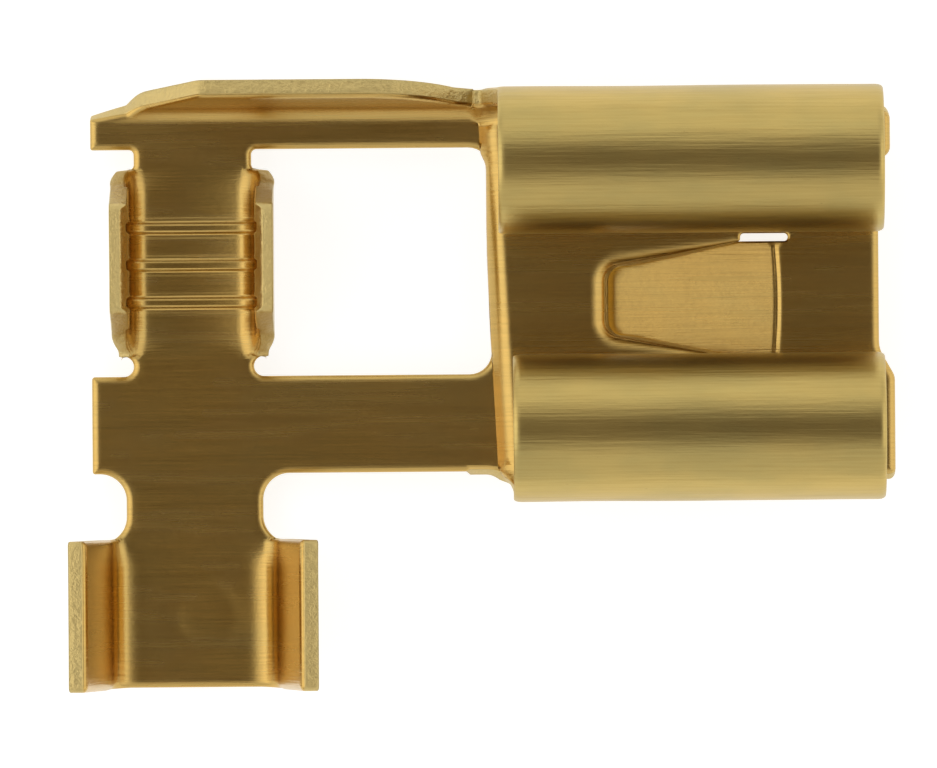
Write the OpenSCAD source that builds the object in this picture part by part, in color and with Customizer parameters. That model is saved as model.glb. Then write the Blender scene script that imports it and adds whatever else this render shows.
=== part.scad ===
// Flag-type female spade terminal, pressed and folded from one piece of sheet brass.
// Lengths in mm. X points out of the mouth, Y across the receptacle, Z towards the rolls.
// The origin is the middle of the mouth, on the floor face that the tab lies on.

/* [Sheet] */

// thickness of the brass sheet
sheet = 0.35; // [0.25:0.01:0.5]

// inside radius of the folds
bend_radius = 0.3; // [0.1:0.05:0.6]

// inside radius of the folds beside the conductor
barrel_bend_radius = 0.35; // [0.1:0.05:0.6]

/* [Receptacle] */

// width over both rolls
receptacle_width = 7.78; // [7:0.01:8.5]

// open gap between the two rolls
roll_gap = 2.26; // [1.5:0.01:4]

// top of the rolls above the floor face
roll_height = 2.65; // [2:0.05:3.5]

// free edge of each roll above the floor face
tab_gap = 0.7; // [0.5:0.01:0.9]

// length of the roll on the +Y side
roll_length_left = 7.21; // [6:0.01:9]

// length of the roll on the -Y side
roll_length_right = 6.96; // [6:0.01:9]

// how far the fold of each roll runs back behind it
roll_foot = 0.38; // [0.2:0.01:0.6]

// how far the floor stops behind the mouth
floor_setback = 0.07; // [0:0.01:0.3]

/* [Step behind the receptacle] */

// height of the receptacle floor above the arms
step_height = 0.3; // [0:0.05:0.6]

// length of the ramp
step_run = 0.24; // [0.2:0.02:1]

/* [Locking lance] */

// line where the lance bends down, behind the mouth
lance_root = 1.92; // [1:0.01:3]

// length from the bend to the tip
lance_length = 3.3; // [2:0.05:4]

// middle of the lance off the centre line
lance_offset = -0.13; // [-0.5:0.01:0.5]

// half of the width at the root
lance_root_half = 1.1; // [0.6:0.01:1.5]

// half of the width at the corners of the tip
lance_tip_half = 0.61; // [0.3:0.01:1.2]

// rounding of the corners of the tip
lance_corner = 0.3; // [0.1:0.05:0.6]

// angle that the lance is bent down by
lance_droop = 11.5; // [0:0.5:20]

// sheared gap round the lance
lance_kerf = 0.02; // [0.01:0.01:0.1]

// length of the relief slit at each side of the root
slit_length = 0.9; // [0.4:0.05:1.5]

// width of the relief slit
slit_width = 0.15; // [0.08:0.01:0.3]

// how far the slit runs in front of the bend
slit_ahead = 0.15; // [0:0.01:0.4]

/* [Arms and window] */

// distance from the roll on the +Y side back to the window
window_gap = 0.143; // [0:0.001:1]

// width of the flat of the arm that carries the flange
flanged_arm_width = 0.46; // [0.3:0.01:1.2]

// width of the plain arm
plain_arm_width = 1.83; // [1:0.01:2.5]

// how far the plain arm reaches past the fold line
plain_arm_out = 0.08; // [0:0.01:0.3]

// rounding of the window corners at the receptacle
window_corner = 0.42; // [0.1:0.01:0.8]

// radius where the plain arm runs into its roll
arm_fillet = 0.6; // [0.2:0.01:1]

/* [Stiffening flange] */

// height above the arm face
flange_height = 1.2; // [0.6:0.05:2]

// lean outwards from upright
flange_lean = 11; // [0:1:20]

// reach of the heel end past the middle of the strip
flange_heel_out = 1.22; // [1:0.01:2]

// length of the short steep rise at the heel
flange_rise = 0.45; // [0.1:0.01:1]

// height reached at the end of the steep rise
flange_rise_height = 0.35; // [0:0.05:1]

// length of the slope up to the level crest
flange_slope = 0.9; // [0.2:0.01:2]

// radius of the end beside the roll
flange_end_radius = 2.4; // [0.5:0.05:2.5]

// gap between the flange and the roll
flange_gap = 0.21; // [0.05:0.01:1]

/* [Crimp strip] */

// middle line of the strip behind the mouth
strip_middle = 12.96; // [11:0.01:15]

// reach of the plate and of the heel stub past the middle line
plate_reach = 1.92; // [1.4:0.01:2.5]

// half of the strip width above the conductor barrel
upper_neck_half = 1.105; // [0.8:0.005:1.5]

// length of the neck above the conductor barrel
upper_neck_length = 0.37; // [0.22:0.01:1]

// rounding of the corners of that neck
neck_corner = 0.1; // [0.05:0.01:0.1]

// half of the strip width below the conductor barrel
waist_half = 1.13; // [0.85:0.01:1.4]

// width of the small notches there
waist_gap = 0.38; // [0.2:0.01:0.8]

// radius of the two large relief notches
notch_radius = 0.65; // [0.3:0.01:1]

// half of the strip width between the large notches
lower_neck_half = 1.285; // [0.8:0.005:1.5]

/* [Conductor barrel] */

// width over the wings
conductor_width = 3.15; // [2.6:0.01:4]

// height of the wings above the strip face
conductor_height = 2.05; // [1.2:0.05:3]

// how far the crest stops short of the end nearest the flange
conductor_slope_start = 0.69; // [0.1:0.01:1.5]

// how far the crest stops short of the other end
conductor_slope_end = 0.83; // [0.1:0.01:1.5]

// height where the wing ends turn steeper
conductor_shoulder = 0.4; // [0.3:0.05:1]

// how far the wing ends nearest the flange have come in at that height
conductor_draft_start = 0.27; // [0:0.01:0.4]

// how far the other wing ends have come in at that height
conductor_draft_end = 0.42; // [0:0.01:0.5]

// coined bevel along the inner edge of the crest
conductor_bevel = 0.13; // [0.02:0.01:0.25]

// spacing of the three grooves
serration_pitch = 0.702; // [0.4:0.001:1]

// middle groove from the middle of the barrel
serration_offset = -0.05; // [-0.3:0.01:0.3]

// width of a groove
serration_width = 0.23; // [0.1:0.01:0.35]

// depth of a groove
serration_depth = 0.07; // [0.02:0.01:0.15]

/* [Insulation barrel] */

// half of the flat floor between the folds
insulation_half = 1.26; // [0.8:0.01:2]

// height of the wings above the strip face
insulation_height = 2.5; // [1.5:0.05:3.5]

// lean of the wings outwards from upright
insulation_lean = 11; // [0:1:20]

// how far the wings reach up into the large notches
insulation_lap = 0.06; // [0:0.01:0.3]

// length of the barrel
insulation_length = 2.82; // [1.5:0.01:4]

/* [Cut-off carrier stubs] */

// reach of the +Y mouth stub past the mouth
mouth_stub_left = 0.165; // [0:0.005:0.5]

// width of that stub
mouth_stub_left_width = 0.9; // [0.5:0.05:2]

// reach of the -Y mouth stub past the mouth
mouth_stub_right = 0.224; // [0:0.005:0.5]

// width of that stub
mouth_stub_right_width = 2; // [0.5:0.05:2.5]

// how far both mouth stubs reach past the fold lines
mouth_stub_out = 0.22; // [0:0.01:0.4]

// rounding of the corners of the mouth stubs
mouth_stub_corner = 0.13; // [0.05:0.01:0.2]

// length of the sloped lead into the -Y mouth stub
mouth_stub_lead = 0.4; // [0.1:0.05:0.8]

// how far the end of the heel stub reaches past the fold line
heel_stub_out = 0.14; // [0:0.01:0.3]

/* [Hidden] */

// overlap inside the metal where two pieces of one solid meet
lap = 0.1;

half_width = receptacle_width / 2;
floor_half = half_width - bend_radius - sheet;
roll_radius = (receptacle_width - roll_gap) / 4;
roll_axis_y = half_width - roll_radius;
roll_axis_z = roll_height - roll_radius;

// the ramp ends where the rolls begin, so it is as skew as their ends
step_skew = atan2(roll_length_left - roll_length_right, 2 * roll_axis_y);
step_back = (roll_length_left + roll_length_right) / 2;
strip_face = -step_height;
mitre = sheet * tan(atan2(step_height, step_run) / 2);

window_front = roll_length_left + window_gap;
window_left = floor_half - flanged_arm_width;
arm_edge = -floor_half - plain_arm_out;
window_right = arm_edge + plain_arm_width;
heel_stub = strip_middle + plate_reach;

flange_heel = strip_middle + flange_heel_out;
flange_front = roll_length_left + flange_gap;
flange_sill = -roll_length_left - roll_foot + lap;

conductor_floor = conductor_width / 2 - barrel_bend_radius - sheet;
conductor_start = window_left - upper_neck_length;
conductor_end = window_right + waist_gap;
serration_middle = (conductor_start + conductor_end) / 2 + serration_offset;

notch_out = lower_neck_half + notch_radius;
notch_y = arm_edge - notch_radius;
insulation_start = notch_y - notch_radius + insulation_lap;
insulation_end = insulation_start - insulation_length;

reach = 40;
tall = 8;
slack = 0.5;
$fn = 96;

// ---- two-dimensional helpers ----

// quarter or part ring of sheet, round the origin, from straight down to the given angle
module fold_ring(radius, angle) {
    outer = radius + sheet;
    intersection() {
        difference() {
            circle(outer);
            circle(radius);
        }
        polygon([[0, 0], [0, -2 * outer], [2 * outer, -2 * outer],
                 [2 * outer * sin(angle), -2 * outer * cos(angle)]]);
    }
}

// folded wing seen along its fold: it starts at the fold line, with the floor face at zero
module wing_section(fold, radius, lean, height) {
    angle = 90 - lean;
    turn_x = radius * sin(angle);
    turn_z = radius * (1 - cos(angle));
    length = (height + slack - turn_z) / cos(lean);
    translate([fold, radius]) fold_ring(radius, angle);
    translate([fold + turn_x, turn_z]) rotate(-lean)
        polygon([[0, 0], [sheet / 2, -sheet / 2], [sheet, 0], [sheet, length], [0, length]]);
}

// one roll seen from the mouth, on the +Y side
module roll_section() {
    translate([floor_half, bend_radius]) fold_ring(bend_radius, 90);
    translate([half_width - sheet, bend_radius])
        square([sheet, roll_axis_z - bend_radius]);
    translate([roll_axis_y, roll_axis_z]) intersection() {
        difference() {
            circle(roll_radius);
            circle(roll_radius - sheet);
        }
        translate([-roll_radius, 0]) square([2 * roll_radius, roll_radius]);
    }
    translate([roll_gap / 2, tab_gap]) square([sheet, roll_axis_z - tab_gap]);
}

// ---- flat outline ----

module lance_outline(grow) {
    half_root = lance_root_half + grow;
    half_tip = lance_tip_half + grow;
    end = -lance_root - lance_length - grow;
    flat = half_tip - lance_corner;
    translate([0, lance_offset]) {
        polygon([[-lance_root, half_root],
                 [-lance_root - slit_length + slit_ahead, half_root],
                 [end + lance_corner, half_tip],
                 [end + lance_corner, -half_tip],
                 [-lance_root - slit_length + slit_ahead, -half_root],
                 [-lance_root, -half_root]]);
        translate([end, -flat]) square([lance_corner + slack, 2 * flat]);
        for (side = [-1, 1])
            translate([end + lance_corner, side * flat]) circle(lance_corner);
    }
}

module slits() {
    r = slit_width / 2;
    front = -lance_root + slit_ahead - r;
    back = front - slit_length + slit_width;
    for (side = [-1, 1])
        translate([0, lance_offset + side * (lance_root_half + r)]) {
            translate([back, -r]) square([front - back, slit_width]);
            translate([front, 0]) circle(r);
            translate([back, 0]) circle(r);
        }
}

module rounded_bar(x0, x1, y0, y1, r) {
    translate([x0 + r, y0]) square([x1 - x0 - 2 * r, y1 - y0]);
    translate([x0, y0 + r]) square([x1 - x0, y1 - y0 - 2 * r]);
    for (x = [x0 + r, x1 - r]) for (y = [y0 + r, y1 - r])
        translate([x, y]) circle(r);
}

// stub left at the mouth where the strip was cut, reaching out from y0 to y1
module mouth_stub(reached, y0, y1)
    rounded_bar(-slack, reached, y0, y1, mouth_stub_corner);

// everything that stays flat, arms and strip and receptacle floor
module plan() {
    stub_y = -floor_half - mouth_stub_out + mouth_stub_right_width;
    waist_out = waist_half + waist_gap / 2;
    difference() {
        union() {
            // floor of the receptacle
            translate([-window_front, -floor_half])
                square([window_front - floor_setback, 2 * floor_half]);
            // flanged arm with its heel stub
            translate([-flange_heel, window_left])
                square([flange_heel - window_front + slack, floor_half - window_left]);
            polygon([[-heel_stub, window_left], [-heel_stub, floor_half + heel_stub_out],
                     [-flange_heel, floor_half + 2 * heel_stub_out],
                     [-flange_heel + flange_rise, floor_half],
                     [-flange_heel + lap, window_left]]);
            // neck above the conductor barrel
            translate([-strip_middle - upper_neck_half - neck_corner, conductor_start])
                square([2 * (upper_neck_half + neck_corner), window_left - conductor_start]);
            // strip under the conductor barrel
            translate([-strip_middle - conductor_floor, conductor_end - lap])
                square([2 * conductor_floor, conductor_start - conductor_end + 2 * lap]);
            // waist, plate and plain arm
            translate([-strip_middle - waist_out, window_right - lap])
                square([2 * waist_out, waist_gap + lap]);
            translate([-heel_stub, arm_edge])
                square([heel_stub - window_front + slack, plain_arm_width]);
            // neck and floor of the insulation barrel
            translate([-strip_middle - insulation_half, insulation_end])
                square([2 * insulation_half, arm_edge - insulation_end + lap]);
            translate([-strip_middle - notch_out, insulation_start])
                square([2 * notch_out, arm_edge - insulation_start + lap]);
            // sheet that the rounded corners of the window are cut from
            translate([-window_front - window_corner, window_right])
                square([window_corner, window_left - window_right]);
            // stubs where the mouth was cut from the next piece
            mouth_stub(mouth_stub_left, floor_half + mouth_stub_out - mouth_stub_left_width,
                       floor_half + mouth_stub_out);
            mouth_stub(mouth_stub_right, -floor_half - mouth_stub_out, stub_y);
            polygon([[-slack, stub_y + mouth_stub_lead],
                     [-floor_setback, stub_y + mouth_stub_lead],
                     [mouth_stub_right - mouth_stub_corner / 2, stub_y - lap],
                     [-slack, stub_y - lap]]);
        }
        // corners of the window at the receptacle
        rounded_bar(-window_front - 3 * window_corner, -window_front, window_right,
                    window_left, window_corner);
        // small notches at both ends of the conductor barrel
        for (side = [-1, 1]) {
            translate([-strip_middle + side * (upper_neck_half + slack), 0])
                rounded_bar(-slack, slack, conductor_start, window_left, neck_corner);
            translate([-strip_middle + side * waist_out, window_right + waist_gap / 2])
                circle(waist_gap / 2);
        }
        // notches between the plate and the insulation barrel
        for (side = [-1, 1])
            translate([-strip_middle + side * notch_out, notch_y]) {
                circle(notch_radius);
                translate([side > 0 ? 0 : -slack, -notch_radius])
                    square([slack, 2 * notch_radius]);
            }
        roll_relief();
        lance_outline(lance_kerf);
        slits();
    }
}

// rounding where the plain arm meets the roll
module roll_relief() {
    translate([-roll_length_right - arm_fillet, arm_edge - arm_fillet])
        circle(arm_fillet);
}

// ---- solids ----

// the flat sheet, stepped up once behind the receptacle
module stepped_sheet() {
    intersection() {
        translate([-step_back, 0, 0]) rotate([0, 0, step_skew]) rotate([90, 0, 0])
            linear_extrude(height = reach, center = true)
                polygon([[-reach, strip_face], [-step_run, strip_face], [0, 0],
                         [reach, 0], [reach, -sheet], [mitre, -sheet],
                         [mitre - step_run, strip_face - sheet],
                         [-reach, strip_face - sheet]]);
        translate([0, 0, -tall / 2]) linear_extrude(height = tall) plan();
    }
}

// extrudes a section seen from the mouth, from x0 to x1
module along_x(x0, x1)
    translate([x0, 0, 0]) rotate([90, 0, 90]) linear_extrude(height = x1 - x0) children();

// extrudes a section seen from the wire end, from y0 to y1
module along_y(y0, y1)
    translate([0, y1, 0]) rotate([90, 0, 0]) linear_extrude(height = y1 - y0) children();

module rolls() {
    along_x(-roll_length_left, 0) roll_section();
    mirror([0, 1, 0]) along_x(-roll_length_right, 0) roll_section();
    // foot of the other roll, where its fold runs on into the fold of the flange
    along_x(-roll_length_left - roll_foot, -roll_length_left + lap)
        translate([floor_half, bend_radius]) fold_ring(bend_radius, 90);
    // foot of the plain arm's roll, cut round by the relief fillet
    difference() {
        mirror([0, 1, 0]) along_x(-roll_length_right - roll_foot, -roll_length_right + lap)
            translate([floor_half, bend_radius]) fold_ring(bend_radius, 90);
        translate([0, 0, -tall / 2]) linear_extrude(height = tall) roll_relief();
    }
}

module lance() {
    translate([-lance_root, 0, 0]) rotate([0, -lance_droop, 0])
        translate([lance_root, 0, -sheet]) linear_extrude(height = sheet) lance_outline(0);
}

module flange() {
    end_x = -flange_front - flange_end_radius;
    intersection() {
        translate([0, 0, strip_face]) along_x(-flange_heel, flange_sill)
            wing_section(floor_half, bend_radius, flange_lean, flange_height);
        translate([0, reach / 2, strip_face]) rotate([90, 0, 0])
            linear_extrude(height = reach) {
                polygon([[-flange_heel, -sheet], [-flange_heel, -sheet / 2],
                         [-flange_heel + flange_rise, flange_rise_height],
                         [-flange_heel + flange_rise + flange_slope, flange_height],
                         [end_x, flange_height], [end_x, -sheet]]);
                translate([end_x, flange_height - flange_end_radius]) intersection() {
                    circle(flange_end_radius);
                    square(flange_end_radius);
                }
                // low fold left between the flange and the roll
                translate([end_x, -sheet])
                    square([flange_sill - end_x, sheet + bend_radius]);
            }
    }
}

// inside of the conductor barrel, deeper by the given amount
module conductor_bore(deeper) {
    half = conductor_width / 2 - sheet + deeper;
    r = barrel_bend_radius + deeper;
    translate([-half + r, -deeper]) square([2 * (half - r), tall / 2]);
    translate([-half, r - deeper]) square([2 * half, tall / 2 - r]);
    for (side = [-1, 1])
        translate([side * (half - r), r - deeper]) circle(r);
}

module conductor_barrel() {
    top = conductor_height;
    inner = conductor_width / 2 - sheet;
    translate([-strip_middle, 0, strip_face]) difference() {
        intersection() {
            along_y(conductor_end, conductor_start) {
                translate([-conductor_floor, -sheet]) square([2 * conductor_floor, sheet]);
                wing_section(conductor_floor, barrel_bend_radius, 0, top);
                mirror([1, 0]) wing_section(conductor_floor, barrel_bend_radius, 0, top);
            }
            translate([-reach / 2, 0, 0]) rotate([90, 0, 90])
                linear_extrude(height = reach)
                    polygon([[conductor_start, -sheet], [conductor_start, 0],
                             [conductor_start - conductor_draft_start, conductor_shoulder],
                             [conductor_start - conductor_slope_start, top],
                             [conductor_end + conductor_slope_end, top],
                             [conductor_end + conductor_draft_end, conductor_shoulder],
                             [conductor_end, 0], [conductor_end, -sheet]]);
        }
        for (i = [-1:1])
            translate([0, serration_middle + i * serration_pitch, 0])
                along_y(-serration_width / 2, serration_width / 2)
                    conductor_bore(serration_depth);
        for (side = [-1, 1])
            along_y(conductor_end, conductor_start)
                translate([side * inner, top]) rotate(45)
                    square(conductor_bevel * sqrt(2), center = true);
    }
}

module insulation_barrel() {
    translate([-strip_middle, 0, strip_face]) difference() {
        intersection() {
            along_y(insulation_end, insulation_start) {
                translate([-insulation_half, -sheet]) square([2 * insulation_half, sheet]);
                wing_section(insulation_half, bend_radius, insulation_lean, insulation_height);
                mirror([1, 0])
                    wing_section(insulation_half, bend_radius, insulation_lean,
                                 insulation_height);
            }
            translate([-reach / 2, insulation_end, -sheet])
                cube([reach, insulation_start - insulation_end, insulation_height + sheet]);
        }
        for (side = [-1, 1])
            translate([side * notch_out, notch_y, -tall / 2])
                cylinder(r = notch_radius, h = tall);
    }
}

module terminal() {
    color("gold") {
        stepped_sheet();
        rolls();
        lance();
        flange();
        conductor_barrel();
        insulation_barrel();
    }
}

terminal();
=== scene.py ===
"""Brass female spade terminal: folded sheet skin, procedural brass, tent light."""
import math
import random

import bpy
import numpy as np
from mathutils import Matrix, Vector, kdtree
from mathutils.geometry import delaunay_2d_cdt


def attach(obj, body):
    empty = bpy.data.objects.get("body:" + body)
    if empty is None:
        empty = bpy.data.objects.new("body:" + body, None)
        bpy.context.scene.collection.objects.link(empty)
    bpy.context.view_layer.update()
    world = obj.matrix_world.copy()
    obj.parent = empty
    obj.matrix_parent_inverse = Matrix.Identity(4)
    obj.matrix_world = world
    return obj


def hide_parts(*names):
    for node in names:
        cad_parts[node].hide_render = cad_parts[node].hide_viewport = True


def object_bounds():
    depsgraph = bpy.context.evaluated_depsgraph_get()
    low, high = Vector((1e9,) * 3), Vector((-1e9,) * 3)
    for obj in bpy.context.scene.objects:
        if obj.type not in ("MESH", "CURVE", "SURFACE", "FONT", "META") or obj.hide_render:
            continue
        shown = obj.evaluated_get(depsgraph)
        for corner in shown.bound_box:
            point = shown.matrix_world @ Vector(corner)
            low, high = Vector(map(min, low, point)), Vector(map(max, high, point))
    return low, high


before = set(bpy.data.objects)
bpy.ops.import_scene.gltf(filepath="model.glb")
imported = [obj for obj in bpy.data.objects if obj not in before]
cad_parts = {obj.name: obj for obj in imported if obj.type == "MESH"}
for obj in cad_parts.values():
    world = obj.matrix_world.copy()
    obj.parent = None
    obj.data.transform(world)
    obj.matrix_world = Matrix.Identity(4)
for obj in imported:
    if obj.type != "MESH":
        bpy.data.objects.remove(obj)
cad_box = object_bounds()
random.seed(7)

MM = 0.001

# ---------------------------------------------------------------- sizes, in mm
SHEET = 0.35
MID = SHEET / 2
BEND = 0.3
BEND_MID = BEND + MID
BARREL_MID = 0.35 + MID

HALF_WIDTH = 3.89
FOLD = HALF_WIDTH - BEND - SHEET
ROLL_HEIGHT = 2.65
ROLL_R = 1.38
ROLL_AXIS_Z = ROLL_HEIGHT - ROLL_R
ROLL_GAP_Z = 0.7
ROLL_LEFT = 7.21
ROLL_RIGHT = 6.96
SETBACK = 0.07

STEP = 0.3
STEP_RUN = 0.24
STEP_BACK = (ROLL_LEFT + ROLL_RIGHT) / 2
STEP_SKEW = math.atan2(ROLL_LEFT - ROLL_RIGHT, 2 * (HALF_WIDTH - ROLL_R))

LANCE_ROOT = 1.92
LANCE_LENGTH = 3.3
LANCE_Y = -0.13
LANCE_HALF_ROOT = 1.1
LANCE_HALF_TIP = 0.61
LANCE_CORNER = 0.3
LANCE_DROOP = math.radians(11.5)
LANCE_CREASE = 0.12
CREASE_DEPTH = 0.026
CREASE_WIDTH = 0.028
KERF = 0.004
HOLE_LEAN = 0.045
HOLE_LEAN_TIP = 0.07
SLIT_LENGTH = 0.9
SLIT_WIDTH = 0.15
SLIT_AHEAD = 0.15

WINDOW_FRONT = 7.353
WINDOW_LEFT = 2.78
WINDOW_RIGHT = -1.49
WINDOW_CORNER = 0.42
ARM_EDGE = -3.32
ARM_FILLET = 0.52

FLANGE_HEEL = 14.18
FLANGE_FRONT = 7.42
FLANGE_HEIGHT = 1.2
FLANGE_ANGLE = math.radians(79)
FLANGE_RISE = 0.45
FLANGE_RISE_HEIGHT = 0.35
FLANGE_SLOPE = 0.9
FLANGE_END_R = 2.4
VALLEY_S = 0.66
VALLEY_FLANGE = 7.66
VALLEY_ROLL = 7.52
ROLL_FOOT = 7.3
ROLL_FOOT_S = 1.25
STUB_OUT = 0.14

STRIP_X = -12.96
HEEL_X = -14.88
NECK_HALF = 1.105
NECK_CORNER = 0.1
WAIST_OUT = 1.32
WAIST_R = 0.19
NOTCH_OUT = 1.785
NOTCH_R = 0.5
NOTCH_TOP = ARM_EDGE - NOTCH_R
NOTCH_LOW = NOTCH_TOP - 0.3

COND_FOLD = 0.875
COND_Y1 = 2.41
COND_Y0 = -1.11
COND_HEIGHT = 2.05
COND_SHOULDER = 0.4
COND_DRAFT_START = 0.27
COND_DRAFT_END = 0.42
COND_SLOPE_START = 0.69
COND_SLOPE_END = 0.83
COND_BEVEL = 0.3
BEVEL_DEPTH = 0.13
GROOVE_MIDDLE = 0.60
GROOVE_PITCH = 0.702
GROOVE_WIDTH = 0.23
GROOVE_DEPTH = 0.07

INS_FOLD = 1.26
INS_ANGLE = math.radians(79)
INS_HEIGHT = 2.5
INS_Y1 = -4.56
INS_Y0 = -7.38
INS_FLOOR_Y0 = -7.34

MOUTH_LEFT = 0.165
MOUTH_LEFT_WIDTH = 0.9
MOUTH_RIGHT = 0.224
MOUTH_RIGHT_WIDTH = 2.0
MOUTH_OUT = 0.22
MOUTH_CORNER = 0.13
MOUTH_LEAD = 0.4

# arcs (length, radius) and straights (length, None) of each fold, on the middle of the sheet
ROLL_CHAIN = [
    (BEND_MID * math.pi / 2, BEND_MID),
    (ROLL_AXIS_Z - BEND, None),
    ((ROLL_R - MID) * math.pi, ROLL_R - MID),
    (ROLL_AXIS_Z - ROLL_GAP_Z, None),
]
ROLL_S = sum(length for length, radius in ROLL_CHAIN)
COND_ARC = BARREL_MID * math.pi / 2
COND_S = COND_ARC + COND_HEIGHT - 0.35
INS_ARC = BEND_MID * INS_ANGLE
INS_S = INS_ARC + (INS_HEIGHT - BEND + BEND_MID * math.cos(INS_ANGLE)) / math.sin(INS_ANGLE)
FLANGE_ARC = BEND_MID * FLANGE_ANGLE

# the barrel floors start to curve before the fold lines; these two have their own widths
COND_HOLLOW = 8.0
COND_HOLLOW_TO = 0.86
COND_CHAIN = [
    (COND_HOLLOW_TO, COND_HOLLOW),
    (0.56 * (math.pi / 2 - COND_HOLLOW_TO / COND_HOLLOW), 0.56),
]
INS_EASE_START = INS_FOLD - 0.3
INS_CHAIN = [
    (0.36, 1.3),
    (0.59 * (INS_ANGLE - 0.36 / 1.3), 0.59),
]


def wing_length(height, radius_in, angle):
    """Developed distance from the fold to a height above the inner face."""
    radius = radius_in + MID
    turn_height = radius_in - radius * math.cos(angle)
    if height >= turn_height:
        return radius * angle + (height - turn_height) / math.sin(angle)
    share = max(-1.0, min(1.0, (radius_in - height) / radius))
    return radius * math.acos(share)


# ---------------------------------------------------------------- flat blank
def arc(cx, cy, radius, start, end, steps=18):
    """Points of an arc, angles in degrees."""
    turn = np.radians(np.linspace(start, end, steps + 1))
    return [(cx + radius * math.cos(a), cy + radius * math.sin(a), 0.0) for a in turn]


def rounded(corners):
    """Closed outline from (u, v, corner radius)."""
    out = []
    count = len(corners)
    for i, (u, v, r) in enumerate(corners):
        here = Vector((u, v))
        if r <= 0:
            out.append(here)
            continue
        back = (Vector(corners[i - 1][:2]) - here).normalized()
        ahead = (Vector(corners[(i + 1) % count][:2]) - here).normalized()
        half = back.angle(ahead) / 2
        run = r / math.tan(half)
        middle = here + (back + ahead).normalized() * (r / math.sin(half))
        a = here + back * run - middle
        b = here + ahead * run - middle
        sweep = a.angle_signed(b)
        steps = max(3, int(abs(sweep) / math.radians(11)))
        for k in range(steps + 1):
            turn = -sweep * k / steps
            c, s = math.cos(turn), math.sin(turn)
            out.append(middle + Vector((a.x * c - a.y * s, a.x * s + a.y * c)))
    return out


def cond_wing(side):
    """Outline of one conductor wing, from the waist up to the neck."""
    def at(s, v, r=0.0):
        return (STRIP_X + side * (COND_FOLD + s), v, r)
    shoulder = wing_length(COND_SHOULDER, 0.35, math.pi / 2)
    return [
        at(0.42, COND_Y0 + 0.03, 0.12),
        at(shoulder, COND_Y0 + COND_DRAFT_END, 0.5),
        at(COND_S, COND_Y0 + COND_SLOPE_END, 0.2),
        at(COND_S, COND_Y1 - COND_SLOPE_START, 0.2),
        at(shoulder, COND_Y1 - COND_DRAFT_START, 0.3),
        at(0.5, COND_Y1 - 0.03, 0.12),
    ]


def waist_notch(side):
    """Small round notch between the plate and the conductor barrel, from below."""
    if side > 0:
        return arc(STRIP_X + WAIST_OUT, COND_Y0 - WAIST_R, WAIST_R, 270, 90)
    return arc(STRIP_X - WAIST_OUT, COND_Y0 - WAIST_R, WAIST_R, -90, 90)


def flange_outline():
    """Flange edge from the heel to the roll."""
    points = [(HEEL_X, WINDOW_LEFT, 0.04), (HEEL_X, FOLD + STUB_OUT, 0.05)]
    points.append((-FLANGE_HEEL - 0.02, FOLD + 0.31, 0.1))
    rise = wing_length(FLANGE_RISE_HEIGHT, BEND, FLANGE_ANGLE)
    crest = wing_length(FLANGE_HEIGHT, BEND, FLANGE_ANGLE)
    points.append((-FLANGE_HEEL + FLANGE_RISE, FOLD + rise, 0.2))
    points.append((-FLANGE_HEEL + FLANGE_RISE + FLANGE_SLOPE, FOLD + crest, 0.3))
    middle = -FLANGE_FRONT - FLANGE_END_R
    for k in range(25):
        turn = math.radians(90) * (1 - k / 24)
        height = FLANGE_HEIGHT - FLANGE_END_R * (1 - math.sin(turn))
        s = wing_length(height, BEND, FLANGE_ANGLE)
        if s > VALLEY_S + 0.06:
            points.append((middle + FLANGE_END_R * math.cos(turn), FOLD + s, 0.0))
    return points


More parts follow.
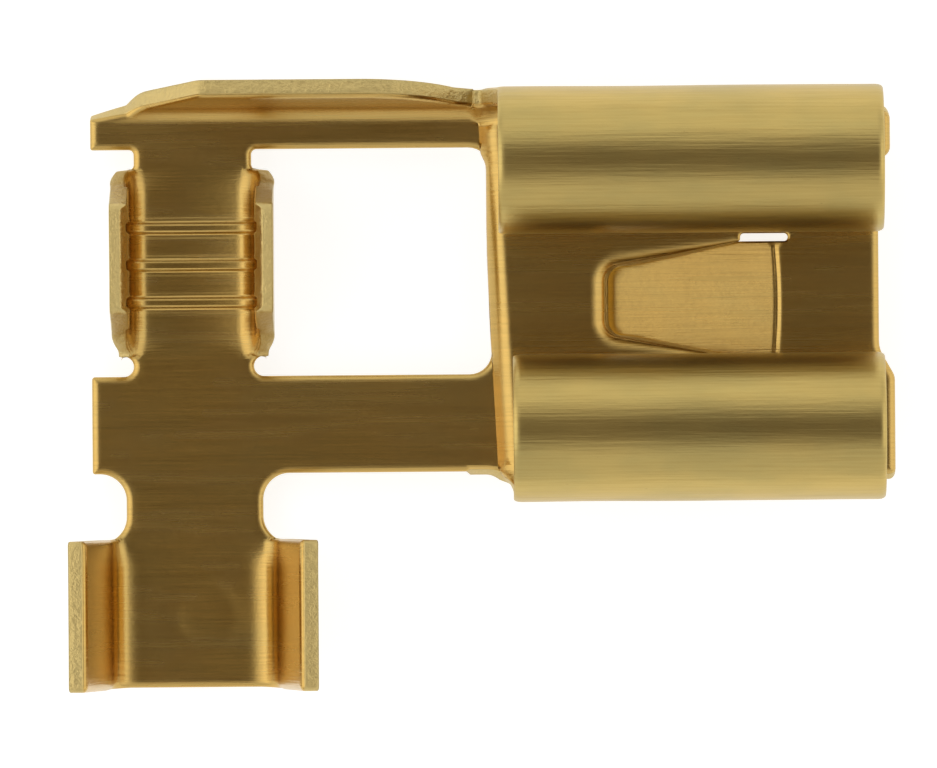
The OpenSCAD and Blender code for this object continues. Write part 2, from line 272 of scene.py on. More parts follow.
def outer_outline():
    stub_low = -FOLD - MOUTH_OUT
    stub_top = stub_low + MOUTH_RIGHT_WIDTH
    left_out = FOLD + MOUTH_OUT
    left_in = left_out - MOUTH_LEFT_WIDTH
    points = [
        (-SETBACK, stub_top + MOUTH_LEAD, 0.5),
        (MOUTH_RIGHT, stub_top - 0.12, 0.3),
        (MOUTH_RIGHT, stub_low, MOUTH_CORNER),
        (0.0, stub_low, 0.03),
        (0.0, -FOLD - ROLL_S, 0.14),
        (-ROLL_RIGHT, -FOLD - ROLL_S, 0.14),
    ]
    points += arc(-ROLL_RIGHT - ARM_FILLET, ARM_EDGE - ARM_FILLET, ARM_FILLET, 0, 90)
    points += arc(STRIP_X + NOTCH_OUT, NOTCH_TOP, NOTCH_R, 90, 180)
    points += arc(STRIP_X + NOTCH_OUT, NOTCH_LOW, NOTCH_R, 180, 241.6, 14)
    points += [
        (STRIP_X + INS_FOLD + INS_S, INS_Y1, 0.08),
        (STRIP_X + INS_FOLD + INS_S, INS_Y0, 0.1),
        (STRIP_X + INS_FOLD + INS_ARC + 0.3, INS_Y0, 0.1),
        (STRIP_X + INS_FOLD, INS_FLOOR_Y0, 0.2),
        (STRIP_X - INS_FOLD, INS_FLOOR_Y0, 0.2),
        (STRIP_X - INS_FOLD - INS_ARC - 0.3, INS_Y0, 0.1),
        (STRIP_X - INS_FOLD - INS_S, INS_Y0, 0.1),
        (STRIP_X - INS_FOLD - INS_S, INS_Y1, 0.08),
    ]
    points += arc(STRIP_X - NOTCH_OUT, NOTCH_LOW, NOTCH_R, -61.6, 0, 14)
    points += arc(STRIP_X - NOTCH_OUT, NOTCH_TOP, NOTCH_R, 0, 90)
    points += [(HEEL_X, ARM_EDGE, 0.05), (HEEL_X, WINDOW_RIGHT, 0.06)]
    points += waist_notch(-1)
    points += cond_wing(-1)
    points += [
        (STRIP_X - NECK_HALF, COND_Y1, NECK_CORNER),
        (STRIP_X - NECK_HALF, WINDOW_LEFT, NECK_CORNER),
    ]
    points += flange_outline()
    points += [
        (-VALLEY_FLANGE, FOLD + VALLEY_S, 0.12),
        (-VALLEY_ROLL, FOLD + VALLEY_S, 0.08),
        (-ROLL_FOOT, FOLD + ROLL_FOOT_S, 0.2),
        (-ROLL_LEFT, FOLD + ROLL_FOOT_S + 0.7, 0.3),
        (-ROLL_LEFT, FOLD + ROLL_S, 0.2),
        (0.0, FOLD + ROLL_S, 0.14),
        (0.0, left_out, 0.03),
        (MOUTH_LEFT, left_out, 0.2),
        (MOUTH_LEFT, left_in, 0.2),
        (-SETBACK, left_in - 0.04, 0.06),
    ]
    return rounded(points)


def window_outline():
    points = [
        (-WINDOW_FRONT, WINDOW_LEFT, WINDOW_CORNER),
        (STRIP_X + NECK_HALF, WINDOW_LEFT, NECK_CORNER),
        (STRIP_X + NECK_HALF, COND_Y1, NECK_CORNER),
    ]
    points += cond_wing(1)[::-1]
    points += waist_notch(1)[::-1]
    points += [(-WINDOW_FRONT, WINDOW_RIGHT, WINDOW_CORNER)]
    return rounded(points)


def lance_cut():
    """Sheared line round the lance, opened by the kerf, with both relief slits."""
    front = -LANCE_ROOT + SLIT_AHEAD - SLIT_WIDTH / 2
    back = -LANCE_ROOT + SLIT_AHEAD - SLIT_LENGTH
    end = -LANCE_ROOT - LANCE_LENGTH
    slit_v = LANCE_HALF_ROOT + SLIT_WIDTH / 2
    points = arc(front, LANCE_Y + slit_v, SLIT_WIDTH / 2, -90, 90, 10)
    points += [
        (back, LANCE_Y + LANCE_HALF_ROOT + SLIT_WIDTH, 0.072),
        (back + 0.005, LANCE_Y + LANCE_HALF_ROOT + 2 * KERF, 0.05),
        (end - KERF, LANCE_Y + LANCE_HALF_TIP + KERF, LANCE_CORNER),
        (end - KERF, LANCE_Y - LANCE_HALF_TIP - KERF, LANCE_CORNER),
        (back + 0.005, LANCE_Y - LANCE_HALF_ROOT - 2 * KERF, 0.05),
        (back, LANCE_Y - LANCE_HALF_ROOT - SLIT_WIDTH, 0.072),
    ]
    points += arc(front, LANCE_Y - slit_v, SLIT_WIDTH / 2, -90, 90, 10)
    points += [
        (back, LANCE_Y - LANCE_HALF_ROOT, 0.3),
        (end, LANCE_Y - LANCE_HALF_TIP, LANCE_CORNER),
        (end, LANCE_Y + LANCE_HALF_TIP, LANCE_CORNER),
        (back, LANCE_Y + LANCE_HALF_ROOT, 0.3),
    ]
    return rounded(points)


def resample(loop, spacing):
    """Splits long edges and drops doubled points."""
    out = []
    count = len(loop)
    for i in range(count):
        a = loop[i]
        b = loop[(i + 1) % count]
        length = (b - a).length
        if length < 0.004:
            continue
        pieces = max(1, int(math.ceil(length / spacing)))
        for k in range(pieces):
            out.append(a.lerp(b, k / pieces))
    return out


def signed_area(loop):
    xs = np.array([p.x for p in loop])
    ys = np.array([p.y for p in loop])
    return 0.5 * float(np.sum(xs * np.roll(ys, -1) - ys * np.roll(xs, -1)))


def inside(points, loops):
    """Even-odd test of many points against closed loops."""
    result = np.zeros(len(points), dtype=bool)
    px = points[:, 0]
    py = points[:, 1]
    for loop in loops:
        lx = np.array([p.x for p in loop])
        ly = np.array([p.y for p in loop])
        nx = np.roll(lx, -1)
        ny = np.roll(ly, -1)
        for k in range(len(lx)):
            if ly[k] == ny[k]:
                continue
            rows = (ly[k] > py) != (ny[k] > py)
            cross = lx[k] + (py[rows] - ly[k]) * (nx[k] - lx[k]) / (ny[k] - ly[k])
            hit = np.zeros(len(px), dtype=bool)
            hit[rows] = px[rows] < cross
            result ^= hit
    return result


OUTLINE_SPACING = 0.075
EDGE_SPACING = 0.012

loops = []
for raw, hole in ((outer_outline(), False), (window_outline(), True), (lance_cut(), True)):
    loop = resample(raw, OUTLINE_SPACING)
    area = signed_area(loop)
    if (area < 0) != hole:
        loop.reverse()
    loops.append(loop)

edge_dots = [p for loop in loops for p in resample(loop, EDGE_SPACING)]
edge_tree = kdtree.KDTree(len(edge_dots))
for index, dot in enumerate(edge_dots):
    edge_tree.insert((dot.x, dot.y, 0.0), index)
edge_tree.balance()


def edge_distance(u, v):
    return edge_tree.find((u, v, 0.0))[2]


def lance_shape():
    """Outline of the lance, grown into the middle of the kerf."""
    back = -LANCE_ROOT + SLIT_AHEAD - SLIT_LENGTH
    end = -LANCE_ROOT - LANCE_LENGTH - KERF / 2
    root = LANCE_HALF_ROOT + KERF / 2
    tip = LANCE_HALF_TIP + KERF / 2
    ahead = -LANCE_ROOT + LANCE_CREASE
    return rounded([
        (ahead, LANCE_Y + root, 0.0), (back, LANCE_Y + root, 0.3),
        (end, LANCE_Y + tip, LANCE_CORNER), (end, LANCE_Y - tip, LANCE_CORNER),
        (back, LANCE_Y - root, 0.3), (ahead, LANCE_Y - root, 0.0),
    ])


LANCE_SHAPE = lance_shape()


def in_lance_outline(u, v):
    """True for points of the lance, from just ahead of its root."""
    return inside(np.stack([u, v], axis=1), [LANCE_SHAPE])


def rollover(u, v):
    """Width and depth of the rounding that the punch leaves on the upper edge."""
    width = np.full(u.shape, 0.13)
    depth = np.full(u.shape, 0.085)
    lance = in_lance_outline(u, v)
    around = (u < -1.7) & (u > -5.7) & (np.abs(v - LANCE_Y) < 1.6) & ~lance
    pull = np.clip((-3.0 - u) / 2.2, 0.0, 1.0)
    width = np.where(around, 0.15 + 0.14 * pull, width)
    depth = np.where(around, 0.05 + 0.15 * pull, depth)
    slit = around & (u > -2.75)
    width = np.where(slit, 0.07, width)
    depth = np.where(slit, 0.04, depth)
    width = np.where(lance, 0.05, width)
    depth = np.where(lance, 0.03, depth)
    stub = (u > -0.09) & (np.abs(v) < FOLD + MOUTH_OUT + 0.02)
    width = np.where(stub, 0.14, width)
    depth = np.where(stub, 0.12, depth)
    rolled = (np.abs(v) > FOLD + 0.3) & (u > -7.3)
    width = np.where(rolled, 0.14, width)
    depth = np.where(rolled, 0.05, depth)
    mouth = (u > -0.3) & (np.abs(v) < 2.6)
    width = np.where(mouth, 0.16, width)
    depth = np.where(mouth, 0.10, depth)
    crest = (np.abs(u - STRIP_X) > COND_FOLD + 1.2) & (v > COND_Y0) & (v < COND_Y1)
    crest = crest & (np.abs(u - STRIP_X) < COND_FOLD + COND_S + 0.1)
    width = np.where(crest, 0.07, width)
    depth = np.where(crest, 0.03, depth)
    return width, depth


# rows of points inside each edge, as shares of the width of its rounding
ROWS = (0.03, 0.12, 0.3, 0.6, 1.0)
BURR = 0.03

flat_points = []
row_share = []
loop_ranges = []
for loop in loops:
    start = len(flat_points)
    for p in loop:
        flat_points.append((p.x, p.y))
        row_share.append(0.0)
    loop_ranges.append((start, len(flat_points)))

for loop in loops:
    count = len(loop)
    us = np.array([p.x for p in loop])
    vs = np.array([p.y for p in loop])
    tangent_u = np.roll(us, -1) - np.roll(us, 1)
    tangent_v = np.roll(vs, -1) - np.roll(vs, 1)
    length = np.hypot(tangent_u, tangent_v)
    normal_u = -tangent_v / length
    normal_v = tangent_u / length
    probe_u = us + normal_u * 0.015
    probe_v = vs + normal_v * 0.015
    widths, depths = rollover(probe_u, probe_v)
    for share in ROWS:
        for k in range(count):
            d = share * widths[k]
            u = us[k] + normal_u[k] * d
            v = vs[k] + normal_v[k] * d
            if edge_distance(u, v) > 0.93 * d - 0.0002:
                flat_points.append((u, v))
                row_share.append(d)

row_count = len(flat_points)


def steps(*parts):
    """Grid lines: (start, end, spacing) parts in turn."""
    lines = []
    for start, end, spacing in parts:
        count = max(1, int(round(abs(end - start) / spacing)))
        for k in range(count):
            lines.append(start + (end - start) * (k + 0.5) / count)
    return lines


groove_lines = steps((COND_Y0, -0.3, 0.12), (-0.3, 1.5, 0.03), (1.5, COND_Y1, 0.12))
wing_s = steps((COND_FOLD, COND_FOLD + COND_S, 0.06))
cond_u = [STRIP_X - s for s in wing_s[::-1]]
cond_u += steps((STRIP_X - COND_FOLD, STRIP_X + COND_FOLD, 0.12))
cond_u += [STRIP_X + s for s in wing_s]
ins_s = steps((INS_FOLD, INS_FOLD + INS_ARC, 0.05), (INS_FOLD + INS_ARC, INS_FOLD + INS_S, 0.12))
ins_u = [STRIP_X - s for s in ins_s[::-1]]
ins_u += steps((STRIP_X - INS_FOLD, STRIP_X + INS_FOLD, 0.11))
ins_u += [STRIP_X + s for s in ins_s]
roll_v = steps((FOLD, FOLD + ROLL_CHAIN[0][0], 0.05), (FOLD + ROLL_CHAIN[0][0], FOLD + ROLL_S, 0.07))
GRIDS = [
    (steps((-ROLL_LEFT, 0.0, 0.16)), roll_v),
    (steps((-7.6, 0.0, 0.16)), [-v for v in roll_v]),
    (steps((-14.9, -FLANGE_FRONT, 0.13)), steps((FOLD, FOLD + 0.75, 0.05), (FOLD + 0.75, 4.95, 0.1))),
    (cond_u, groove_lines),
    (ins_u, steps((INS_Y0, INS_Y1, 0.15))),
    (steps((-7.6, -6.9, 0.03)), steps((-FOLD, FOLD, 0.14))),
    (steps((-6.9, -2.15, 0.14), (-2.15, -1.7, 0.025), (-1.7, 0.25, 0.12)), steps((-FOLD, FOLD, 0.13))),
    (steps((-14.9, -7.6, 0.14)), steps((INS_Y1, COND_Y0, 0.13))),
    (steps((-14.9, -7.6, 0.14)), steps((COND_Y1, FOLD, 0.11))),
]

grid = []
for us, vs in GRIDS:
    for u in us:
        for v in vs:
            grid.append((u, v))
grid = np.array(grid)
keep = inside(grid, loops)
grid = grid[keep]
wide, deep = rollover(grid[:, 0], grid[:, 1])
for (u, v), width in zip(grid, wide):
    if edge_distance(u, v) > width + 0.04:
        flat_points.append((float(u), float(v)))
        row_share.append(9.0)

edges = []
for start, end in loop_ranges:
    for k in range(start, end):
        edges.append((k, k + 1 if k + 1 < end else start))

verts2d = [Vector(p) for p in flat_points]
out_verts, out_edges, out_faces, from_vert, from_edge, from_face = delaunay_2d_cdt(
    verts2d, edges, [], 0, 1e-7, True)
centres = np.array([
    ((out_verts[f[0]].x + out_verts[f[1]].x + out_verts[f[2]].x) / 3,
     (out_verts[f[0]].y + out_verts[f[1]].y + out_verts[f[2]].y) / 3) for f in out_faces])
kept = inside(centres, loops)
faces = [f for f, ok in zip(out_faces, kept) if ok]
in_to_out = {}
for index, sources in enumerate(from_vert):
    for source in sources:
        in_to_out[source] = index

count = len(out_verts)
U = np.array([p.x for p in out_verts])
V = np.array([p.y for p in out_verts])
D = np.array([min(row_share[s] for s in sources) if sources else 0.05 for sources in from_vert])


# ---------------------------------------------------------------- folding
def chain(s, segments):
    """Sheet that leaves the fold flat, then follows arcs and straights."""
    out = np.minimum(s, 0.0)
    up = np.zeros_like(s)
    start = 0.0
    base = 0.0
    for length, radius in segments:
        part = np.clip(s - start, 0.0, length)
        if radius is None:
            out = out + part * math.cos(base)
            up = up + part * math.sin(base)
        else:
            turn = part / radius
            out = out + radius * (np.sin(base + turn) - math.sin(base))
            up = up + radius * (math.cos(base) - np.cos(base + turn))
            base += length / radius
        start += length
    past = np.maximum(s - start, 0.0)
    out = out + past * math.cos(base)
    up = up + past * math.sin(base)
    return out, up


def waves(u, v, seed, pitch):
    """Smooth pseudo-random waviness between -1 and 1."""
    maker = random.Random(seed)
    total = np.zeros_like(u)
    weight = 0.0
    for octave in range(7):
        turn = maker.uniform(0, math.tau)
        k = math.tau / (pitch * maker.uniform(0.6, 1.8))
        total = total + np.sin(k * (u * math.cos(turn) + v * math.sin(turn)) + maker.uniform(0, math.tau))
        weight += 1.0
    return total / weight


def smooth(x):
    x = np.clip(x, 0.0, 1.0)
    return x * x * (3 - 2 * x)


def blend_ramp(w, half):
    """Straight slope from 0 to 1 over w in 0..1, with rounded ends."""
    lo = np.where(w < half, np.where(w > -half, (w + half) ** 2 / (4 * half), 0.0), w)
    hi = 1 - w
    hi = np.where(hi < half, np.where(hi > -half, (hi + half) ** 2 / (4 * half), 0.0), hi)
    return np.where(w < 0.5, lo, 1 - hi)


def step_drop(u, v):
    """How far the sheet lies below the receptacle floor."""
    w = (-(u + STEP_BACK) * math.cos(STEP_SKEW) - v * math.sin(STEP_SKEW)) / STEP_RUN
    return STEP * blend_ramp(w, 0.22)


def regions(u, v):
    """Which fold each point belongs to."""
    s = np.abs(v) - FOLD
    rolled = (s > 0) & ((u > -VALLEY_FLANGE) | (v < 0)) & (u > -7.8)
    from_middle = np.abs(u - STRIP_X)
    reach_cond = COND_FOLD + COND_S + 0.1
    reach_ins = INS_FOLD + INS_S + 0.1
    return {
        "rolled": rolled,
        "flange": (s > 0) & (v > 0) & ~rolled,
        "conductor": (from_middle < reach_cond) & (v > COND_Y0) & (v < COND_Y1),
        "insulation": (from_middle < reach_ins) & (v < INS_Y1 + 0.005),
        "lance": in_lance_outline(u, v),
        "edge_fold": (u > -7.9) & (s > 0) & rolled,
        "side_u": np.where(u < STRIP_X, -1.0, 1.0),
        "side_v": np.where(v < 0, -1.0, 1.0),
    }


def place(u, v, where):
    """Middle surface of the folded sheet, for points whose folds are known."""
    x = u.copy()
    y = v.copy()
    z = np.full_like(u, -MID)

    # rolls and flange
    side = where["side_v"]
    s = side * v - FOLD
    out, up = chain(s, ROLL_CHAIN)
    y = np.where(where["rolled"], side * (FOLD + out), y)
    z = np.where(where["rolled"], -MID + up, z)
    out, up = chain(s, [(FLANGE_ARC, BEND_MID)])
    y = np.where(where["flange"], FOLD + out, y)
    z = np.where(where["flange"], -MID + up, z)

    # barrels: the floors are slightly hollow, the wings stand on both sides
    side = where["side_u"]
    away = side * (u - STRIP_X)
    flat_out, flat_up = chain(away - COND_FOLD, [(COND_ARC, BARREL_MID)])
    flat_out = flat_out + COND_FOLD
    hollow_out, hollow_up = chain(away, COND_CHAIN)
    ease = smooth((v - COND_Y0 - 0.02) / 0.4) * smooth((COND_Y1 - 0.02 - v) / 0.4)
    out = flat_out + (hollow_out - flat_out) * ease
    up = flat_up + (hollow_up - flat_up) * ease
    x = np.where(where["conductor"], STRIP_X + side * out, x)
    z = np.where(where["conductor"], -MID + up, z)
    flat_out, flat_up = chain(away - INS_FOLD, [(INS_ARC, BEND_MID)])
    flat_out = flat_out + INS_FOLD
    hollow_out, hollow_up = chain(away - INS_EASE_START, INS_CHAIN)
    hollow_out = hollow_out + INS_EASE_START
    ease = smooth((INS_Y1 - v) / 0.5)
    out = flat_out + (hollow_out - flat_out) * ease
    up = flat_up + (hollow_up - flat_up) * ease
    x = np.where(where["insulation"], STRIP_X + side * out, x)
    z = np.where(where["insulation"], -MID + up, z)

    # locking lance, bent down behind its root
    back = np.maximum(-LANCE_ROOT + LANCE_CREASE / 2 - u, 0.0)
    out, down = chain(back, [(LANCE_CREASE, LANCE_CREASE / LANCE_DROOP)])
    bent = where["lance"] & (back > 0)
    x = np.where(bent, -LANCE_ROOT + LANCE_CREASE / 2 - out, x)
    z = np.where(bent, -MID - down, z)

    # step behind the receptacle
    flat_s = np.clip(1 - (where["side_v"] * v - FOLD) / 0.7, 0.0, 1.0)
    weight = np.where(where["edge_fold"], smooth(flat_s), 1.0)
    z = z - step_drop(u, v) * weight
    return x, y, z


def groove(v):
    """Depth of the three pressed grooves."""
    depth = np.zeros_like(v)
    for i in (-1, 0, 1):
        off = np.abs(v - GROOVE_MIDDLE - i * GROOVE_PITCH)
        side = np.clip((GROOVE_WIDTH / 2 - off) / 0.05, 0.0, 1.0)
        lip = 0.012 * np.exp(-((off - GROOVE_WIDTH / 2 - 0.03) / 0.035) ** 2)
        depth = depth + GROOVE_DEPTH * smooth(side) - lip
    return depth


where = regions(U, V)
X, Y, Z = place(U, V, where)
EPS = 0.002
along_u = np.stack(place(U + EPS, V, where)) - np.stack(place(U - EPS, V, where))
along_v = np.stack(place(U, V + EPS, where)) - np.stack(place(U, V - EPS, where))
NX, NY, NZ = np.cross(along_u, along_v, axis=0)
length = np.sqrt(NX * NX + NY * NY + NZ * NZ)
NX, NY, NZ = NX / length, NY / length, NZ / length
wide, deep = rollover(U, V)

# rounding of the sheared upper edge, small break on the lower one
near = np.clip(D / wide, 0.0, 1.0)
drop_top = deep * (1 - np.sqrt(np.maximum(0.0, 1 - (1 - near) ** 2)))
on_roll = where["rolled"] & (np.abs(V) > FOLD + 0.3)
burr_width = np.where(on_roll, 0.14, BURR)
burr_depth = np.where(on_roll, np.where(U > -1.0, 0.075, 0.05), 0.02)
near_low = np.clip(D / burr_width, 0.0, 1.0)
drop_low = burr_depth * (1 - np.sqrt(np.maximum(0.0, 1 - (1 - near_low) ** 2)))

# pressed details on the inner face
from_strip = np.abs(U - STRIP_X)
in_barrel = (V > COND_Y0) & (V < COND_Y1) & (from_strip < COND_FOLD + COND_S + 0.1)
groove_share = smooth((COND_FOLD + COND_S - 0.18 - from_strip) / 0.2)
drop_top = drop_top + np.where(in_barrel, groove(V) * groove_share, 0.0)
bevel = np.clip((from_strip - (COND_FOLD + COND_S - COND_BEVEL)) / COND_BEVEL, 0.0, 1.0)
crest = smooth((V - COND_Y0 - 0.8) / 0.12) * smooth((COND_Y1 - 0.66 - V) / 0.12)
bevel = bevel * crest
drop_top = drop_top + np.where(in_barrel, bevel * BEVEL_DEPTH, 0.0)
DENT_X = -12.8
DENT_Y = -6.03
DENT_R = 0.55
DENT_WIDTH = 0.16
DENT_DEPTH = 0.012
dent_r = np.hypot(U - DENT_X, V - DENT_Y)
dent = DENT_DEPTH * np.exp(-((dent_r - DENT_R) / DENT_WIDTH) ** 2)
drop_top = drop_top + np.where(V < INS_Y1, dent, 0.0)
crease = np.abs(U + LANCE_ROOT + 0.03 + 0.05 * ((V - LANCE_Y) / 1.1) ** 2)
on_root = np.abs(V - LANCE_Y) < LANCE_HALF_ROOT
crease_cut = CREASE_DEPTH * np.exp(-(crease / CREASE_WIDTH) ** 2)
drop_top = drop_top + np.where(on_root, crease_cut, 0.0)

sway = 0.004 * waves(U, V, 3, 3.0) + 0.0012 * waves(U, V, 5, 0.9)
sway = sway + np.where(on_roll, 0.007 * waves(U * 0.8, V, 11, 1.6), 0.0)

top = np.stack([X + NX * (MID - drop_top + sway), Y + NY * (MID - drop_top + sway),
                Z + NZ * (MID - drop_top + sway)], axis=1)
low = np.stack([X - NX * (MID - drop_low - sway), Y - NY * (MID - drop_low - sway),
                Z - NZ * (MID - drop_low - sway)], axis=1)

# the sheared wall of the lance hole leans in under its rounded edge
hole_edge = (D < 0.001) & ~where["lance"] & (U < -2.66) & (U > -5.5) & (np.abs(V - LANCE_Y) < 1.4)
toward_tip = smooth((-4.6 - U) / 0.5)
lean = HOLE_LEAN + (HOLE_LEAN_TIP - HOLE_LEAN) * toward_tip
lean = lean * smooth((-2.64 - U) / 0.25)
low[:, 0] += np.where(hole_edge, lean * toward_tip, 0.0)
low[:, 1] -= np.where(hole_edge, np.sign(V - LANCE_Y) * lean * (1 - toward_tip), 0.0)

coords = np.concatenate([top, low])
height = np.concatenate([np.ones(count), np.zeros(count)])
edge_cut = np.where(D < 0.001, 1.0, 0.0)
coined = np.where(in_barrel & (bevel > 0.05), 0.8, 0.0)
cut = np.concatenate([np.maximum(edge_cut, coined), edge_cut])
flat_u = np.concatenate([U, U])
flat_v = np.concatenate([V, V])
polys = []
for a, b, c in faces:
    polys.append((a, b, c))
    polys.append((c + count, b + count, a + count))

WALL = (0.3, 0.62)
extra_coords = []
extra_height = []
extra_cut = []
extra_u = []
extra_v = []
total = 2 * count
for start, end in loop_ranges:
    ids = [in_to_out[k] for k in range(start, end)]
    ring = [[i + count for i in ids]]
    for share in WALL:
        row = []
        for i in ids:
            extra_coords.append(low[i] + (top[i] - low[i]) * share)
            extra_height.append(share)
            extra_cut.append(1.0)
            extra_u.append(U[i])
            extra_v.append(V[i])
            row.append(total)
            total += 1
        ring.append(row)
    ring.append(ids)
    size = len(ids)
    for lower, upper in zip(ring[:-1], ring[1:]):
        for k in range(size):
            m = (k + 1) % size
            polys.append((lower[k], lower[m], upper[m], upper[k]))

coords = np.concatenate([coords, np.array(extra_coords)])
height = np.concatenate([height, np.array(extra_height)])
cut = np.concatenate([cut, np.array(extra_cut)])
flat_u = np.concatenate([flat_u, np.array(extra_u)])
flat_v = np.concatenate([flat_v, np.array(extra_v)])

mesh = bpy.data.meshes.new("terminal_skin")
mesh.from_pydata((coords * MM).tolist(), [], polys)
mesh.validate()
mesh.update()
mesh.polygons.foreach_set("use_smooth", [True] * len(mesh.polygons))
attribute = mesh.attributes.new("flat", "FLOAT_VECTOR", "POINT")
attribute.data.foreach_set("vector", np.stack([flat_u, flat_v, height], axis=1).ravel())
attribute = mesh.attributes.new("cut", "FLOAT", "POINT")
attribute.data.foreach_set("value", cut)
uv = mesh.uv_layers.new(name="grain")
corner = np.zeros(len(mesh.loops), dtype=np.int32)
mesh.loops.foreach_get("vertex_index", corner)
across = np.stack([flat_v[corner] * 0.05 + 0.5, flat_u[corner] * 0.05 + 0.9 + height[corner] * 0.01], axis=1)
uv.data.foreach_set("uv", across.ravel())
skin = bpy.data.objects.new("terminal_skin", mesh)
bpy.context.scene.collection.objects.link(skin)
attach(skin, "root")
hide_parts("terminal")
print("triangles", 2 * len(faces), "points", count, "all", len(mesh.polygons))


# ---------------------------------------------------------------- brass
class Graph:
    """Small helper for shader nodes."""

    def __init__(self, tree):
        self.tree = tree

    def add(self, kind, **values):
        node = self.tree.nodes.new(kind)
        for key, value in values.items():
            setattr(node, key, value)
        return node

    def link(self, a, b):
        self.tree.links.new(a, b)

    def feed(self, socket, value):
        if isinstance(value, bpy.types.NodeSocket):
            self.link(value, socket)
        else:
            socket.default_value = value

    def math(self, operation, a, b=None, c=None, clamp=False):
        node = self.add("ShaderNodeMath", operation=operation, use_clamp=clamp)
        for slot, value in zip(node.inputs, (a, b, c)):
            if value is not None:
                self.feed(slot, value)
        return node.outputs[0]

    def spread(self, value, low, high, to_low, to_high, smooth_step=True):
        node = self.add("ShaderNodeMapRange")
        node.interpolation_type = "SMOOTHSTEP" if smooth_step else "LINEAR"
        self.feed(node.inputs["Value"], value)
        node.inputs["From Min"].default_value = low
        node.inputs["From Max"].default_value = high
        node.inputs["To Min"].default_value = to_low
        node.inputs["To Max"].default_value = to_high
        return node.outputs["Result"]

    def mix(self, share, a, b):
        node = self.add("ShaderNodeMix", data_type="RGBA")
        self.feed(node.inputs["Factor"], share)
        color_in = [s for s in node.inputs if s.type == "RGBA"]
        self.feed(color_in[0], a)
        self.feed(color_in[1], b)
        return [s for s in node.outputs if s.type == "RGBA"][0]

    def scaled(self, vector, scale, offset=(0, 0, 0)):
        node = self.add("ShaderNodeMapping")
        self.link(vector, node.inputs["Vector"])
        node.inputs["Scale"].default_value = scale
        node.inputs["Location"].default_value = offset
        return node.outputs[0]

    def noise(self, vector, scale, detail=2.0, rough=0.5):
        node = self.add("ShaderNodeTexNoise")
        self.link(vector, node.inputs["Vector"])
        node.inputs["Scale"].default_value = scale
        node.inputs["Detail"].default_value = detail
        node.inputs["Roughness"].default_value = rough
        return node.outputs["Fac"]


def brass():
    material = bpy.data.materials.new("brass_sheet")
    material.use_nodes = True
    tree = material.node_tree
    tree.nodes.clear()
    g = Graph(tree)
    flat = g.add("ShaderNodeAttribute", attribute_name="flat").outputs["Vector"]
    cut_face = g.add("ShaderNodeAttribute", attribute_name="cut").outputs["Fac"]

    grain_fine = g.noise(g.scaled(flat, (0.5, 22.0, 1.0)), 1.0, 4.0, 0.6)
    grain_wide = g.noise(g.scaled(flat, (0.25, 4.5, 1.0), (3, 5, 0)), 1.0, 3.0, 0.55)
    cloud = g.noise(g.scaled(flat, (0.45, 0.9, 1.0), (7, 2, 0)), 1.0, 3.0, 0.6)
    speck = g.noise(g.scaled(flat, (9.0, 13.0, 3.0)), 1.0, 3.0, 0.6)

    side_height = g.add("ShaderNodeSeparateXYZ")
    g.link(flat, side_height.inputs[0])
    outer = g.spread(side_height.outputs["Z"], 0.15, 0.0, 0.0, 1.0)
    clean = g.mix(g.spread(cloud, 0.35, 0.7, 0.0, 1.0), (0.64, 0.415, 0.122, 1), (0.60, 0.41, 0.13, 1))
    dull = g.mix(g.spread(cloud, 0.35, 0.7, 0.0, 1.0), (0.60, 0.44, 0.145, 1), (0.52, 0.40, 0.14, 1))
    base = g.mix(outer, clean, dull)
    base = g.mix(g.spread(grain_fine, 0.35, 0.75, 0.0, 0.35), base, (0.42, 0.28, 0.085, 1))
    base = g.mix(g.math("MULTIPLY", cut_face, 0.7), base, (0.66, 0.53, 0.23, 1))
    base = g.mix(g.spread(speck, 0.68, 0.78, 0.0, 0.35), base, (0.30, 0.20, 0.07, 1))

    rough = g.math("ADD", 0.22, g.math("MULTIPLY", grain_wide, 0.09))
    rough = g.math("ADD", rough, g.math("MULTIPLY", outer, 0.04))
    rough = g.math("ADD", rough, g.math("MULTIPLY", cut_face, 0.16))

    lines = g.math("MULTIPLY", grain_fine, 0.6)
    lines = g.math("ADD", lines, g.math("MULTIPLY", grain_wide, 0.9))
    lines = g.math("ADD", lines, g.math("MULTIPLY", speck, 0.25))
    torn = g.noise(g.scaled(flat, (7.0, 7.0, 2.0)), 1.0, 4.0, 0.65)
    lines = g.math("ADD", lines, g.math("MULTIPLY", g.math("MULTIPLY", torn, cut_face), 6.0))
    bump = g.add("ShaderNodeBump")
    bump.inputs["Strength"].default_value = 0.5
    bump.inputs["Distance"].default_value = 0.000016
    g.link(lines, bump.inputs["Height"])

    shader = g.add("ShaderNodeBsdfPrincipled")
    shader.inputs["Metallic"].default_value = 1.0
    g.link(base, shader.inputs["Base Color"])
    g.link(rough, shader.inputs["Roughness"])
    g.link(bump.outputs[0], shader.inputs["Normal"])
    shader.inputs["Anisotropic"].default_value = 0.55
    tangent = g.add("ShaderNodeTangent", direction_type="UV_MAP", uv_map="grain")
    g.link(tangent.outputs[0], shader.inputs["Tangent"])
    output = g.add("ShaderNodeOutputMaterial")
    g.link(shader.outputs[0], output.inputs["Surface"])
    return material


mesh.materials.append(brass())


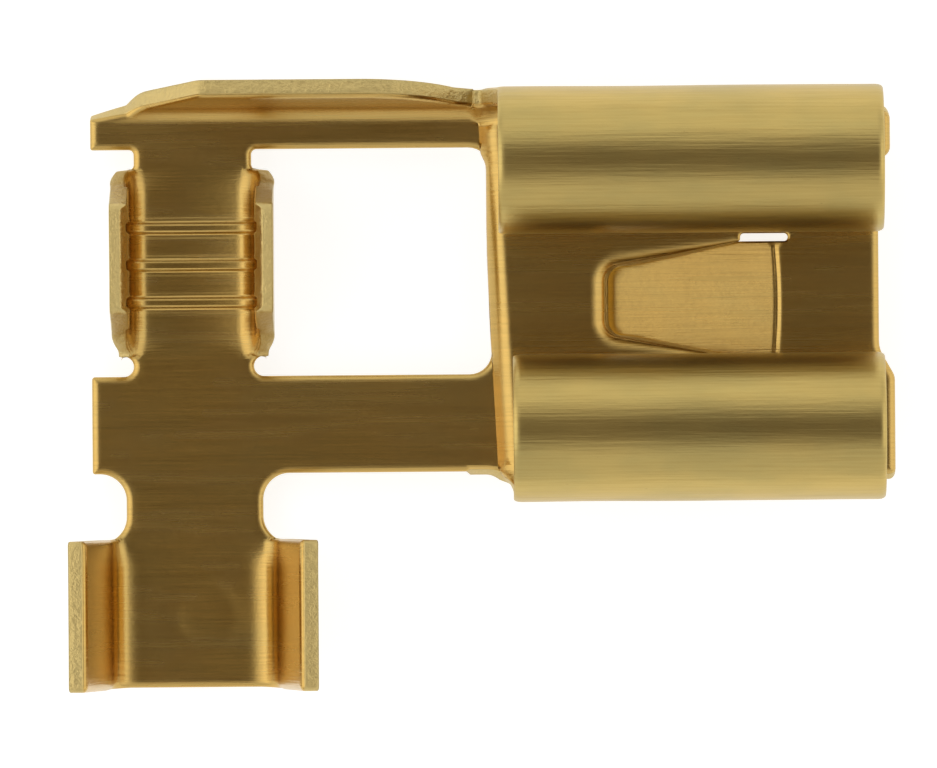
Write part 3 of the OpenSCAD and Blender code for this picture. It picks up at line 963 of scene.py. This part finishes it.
# ---------------------------------------------------------------- floor, light, camera
def pale_floor():
    material = bpy.data.materials.new("pale_floor")
    material.use_nodes = True
    tree = material.node_tree
    tree.nodes.clear()
    g = Graph(tree)
    path = g.add("ShaderNodeLightPath")
    seen = g.math("MAXIMUM", path.outputs["Is Camera Ray"], path.outputs["Is Glossy Ray"])
    seen = g.math("MAXIMUM", seen, path.outputs["Is Transmission Ray"])
    diffuse = g.add("ShaderNodeBsdfDiffuse")
    diffuse.inputs["Color"].default_value = (0.45, 0.45, 0.45, 1)
    glow = g.add("ShaderNodeEmission")
    glow.inputs["Color"].default_value = (1, 1, 1, 1)
    g.link(g.math("MULTIPLY", seen, 0.78), glow.inputs["Strength"])
    both = g.add("ShaderNodeAddShader")
    g.link(diffuse.outputs[0], both.inputs[0])
    g.link(glow.outputs[0], both.inputs[1])
    output = g.add("ShaderNodeOutputMaterial")
    g.link(both.outputs[0], output.inputs["Surface"])
    return material


floor_z = cad_box[0][2] - 0.000002
floor_mesh = bpy.data.meshes.new("floor")
reach = 1.5
floor_mesh.from_pydata([(-reach, -reach, floor_z), (reach, -reach, floor_z),
                        (reach, reach, floor_z), (-reach, reach, floor_z)], [], [(0, 1, 2, 3)])
floor_mesh.materials.append(pale_floor())
floor = bpy.data.objects.new("floor", floor_mesh)
bpy.context.scene.collection.objects.link(floor)


def tent():
    """White tent with a dim opening overhead, brighter panels at the sides."""
    world = bpy.data.worlds.new("tent")
    bpy.context.scene.world = world
    world.use_nodes = True
    tree = world.node_tree
    tree.nodes.clear()
    g = Graph(tree)
    way = g.add("ShaderNodeTexCoord").outputs["Generated"]

    def toward(x, y, z, inner, outer):
        axis = Vector((x, y, z)).normalized()
        node = g.add("ShaderNodeVectorMath", operation="DOT_PRODUCT")
        g.link(way, node.inputs[0])
        node.inputs[1].default_value = axis
        return g.spread(node.outputs["Value"], math.cos(math.radians(outer)),
                        math.cos(math.radians(inner)), 0.0, 1.0)

    dim = toward(0.08, 0.0, 1.0, 4, 38)
    colour = g.mix(dim, (0.82, 0.82, 0.82, 1), (0.11, 0.08, 0.045, 1))
    left = toward(-1.0, 0.0, 0.75, 15, 42)
    colour = g.mix(left, colour, (1.45, 1.42, 1.36, 1))
    right = toward(1.0, 0.0, 0.6, 12, 40)
    colour = g.mix(g.math("MULTIPLY", right, 0.8), colour, (1.3, 1.28, 1.22, 1))
    back = toward(0.0, 1.0, 0.6, 6, 26)
    colour = g.mix(g.math("MULTIPLY", back, 0.5), colour, (1.3, 1.3, 1.25, 1))
    background = g.add("ShaderNodeBackground")
    g.link(colour, background.inputs["Color"])
    background.inputs["Strength"].default_value = 1.0
    output = g.add("ShaderNodeOutputWorld")
    g.link(background.outputs[0], output.inputs["Surface"])


tent()

camera_data = bpy.data.cameras.new("camera")
camera_data.sensor_width = 36.0
camera_distance = 300.0
view_width = 17.613
camera_data.lens = camera_data.sensor_width * camera_distance / view_width
camera_data.clip_start = 0.01
camera_data.clip_end = 5.0
camera = bpy.data.objects.new("camera", camera_data)
camera.location = (-7.795 * MM, -1.673 * MM, camera_distance * MM)
camera.rotation_euler = (0.0, 0.0, math.radians(-0.45))
bpy.context.scene.collection.objects.link(camera)
bpy.context.scene.camera = camera

bpy.context.scene.view_settings.view_transform = "Standard"
